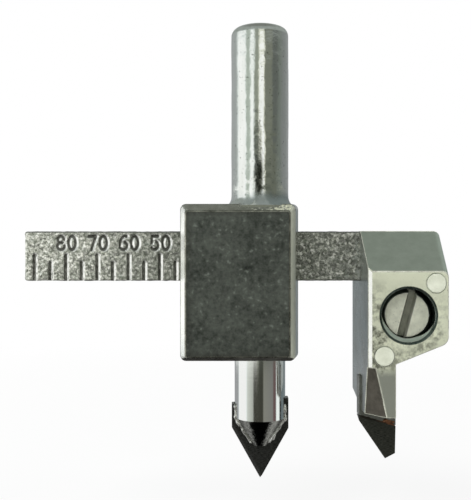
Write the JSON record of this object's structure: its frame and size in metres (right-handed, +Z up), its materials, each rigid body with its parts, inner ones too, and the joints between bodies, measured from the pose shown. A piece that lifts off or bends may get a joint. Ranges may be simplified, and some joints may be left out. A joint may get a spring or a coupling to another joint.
{
  "type": "circle cutter",
  "caption": "Adjustable circle cutter for a drill: cast block with round shank and centring pilot, graduated sliding arm, carbide-tipped cutter clamped in the arm's head.",
  "frame": {"origin": "on the spindle's axis, halfway along the plain grip of the shank", "axes": "+Z up along the spindle towards the drill, +X from the spindle towards the cutter, +Y away from the side with the scale"},
  "size_m": [0.0663, 0.0196, 0.0708],
  "materials": {
    "block_casting": "zinc-plated die casting, satin, mottled dark grey on the face and bright on the shank",
    "arm_casting": "zinc-plated die casting, grainy on the arm and pale satin on the head",
    "screw_steel": "zinc-plated, satin",
    "polished_steel": "ground and polished round steel",
    "blade_steel": "ground tool steel, darkened by brazing",
    "carbide": "ground tungsten carbide, dark and glossy",
    "silver_braze": "bright uneven solder",
    "copper_braze": "dull copper-coloured solder"
  },
  "bodies": {
    "block": {"body_casting": "block_casting"},
    "arm": {"arm_casting": "arm_casting"},
    "pilot": {"pilot_rod": "polished_steel", "pilot_carbide_tip": "carbide", "pilot_braze": "silver_braze"},
    "cutter": {"cutter_blade": "blade_steel", "cutter_carbide_tip": "carbide", "cutter_braze": "copper_braze"},
    "arm_screw": {"arm_clamp_screw": "screw_steel"},
    "pilot_screw": {"pilot_clamp_screw": "screw_steel"},
    "cutter_screw": {"cutter_clamp_screw": "screw_steel"}
  },
  "joints": [
    {"name": "arm_slide", "type": "slide", "parent": "block", "child": "arm", "axis": [1, 0, 0], "range_m": [-0.0065, 0.0235]},
    {"name": "pilot_slide", "type": "slide", "parent": "block", "child": "pilot", "axis": [0, 0, -1], "range_m": [0, 0.0105]},
    {"name": "cutter_slide", "type": "slide", "parent": "arm", "child": "cutter", "axis": [0, 0, -1], "range_m": [0, 0.012]},
    {"name": "arm_screw_turn", "type": "hinge", "parent": "block", "child": "arm_screw", "pos_m": [-0.0032, 0.012, -0.02182], "axis": [0, 1, 0], "range_deg": [0, 360]},
    {"name": "pilot_screw_turn", "type": "hinge", "parent": "block", "child": "pilot_screw", "pos_m": [0, 0.012, -0.0325], "axis": [0, 1, 0], "range_deg": [0, 360]},
    {"name": "cutter_screw_turn", "type": "hinge", "parent": "arm", "child": "cutter_screw", "pos_m": [0.0222, -0.0048, -0.03073], "axis": [0, -1, 0], "range_deg": [0, 360]}
  ]
}
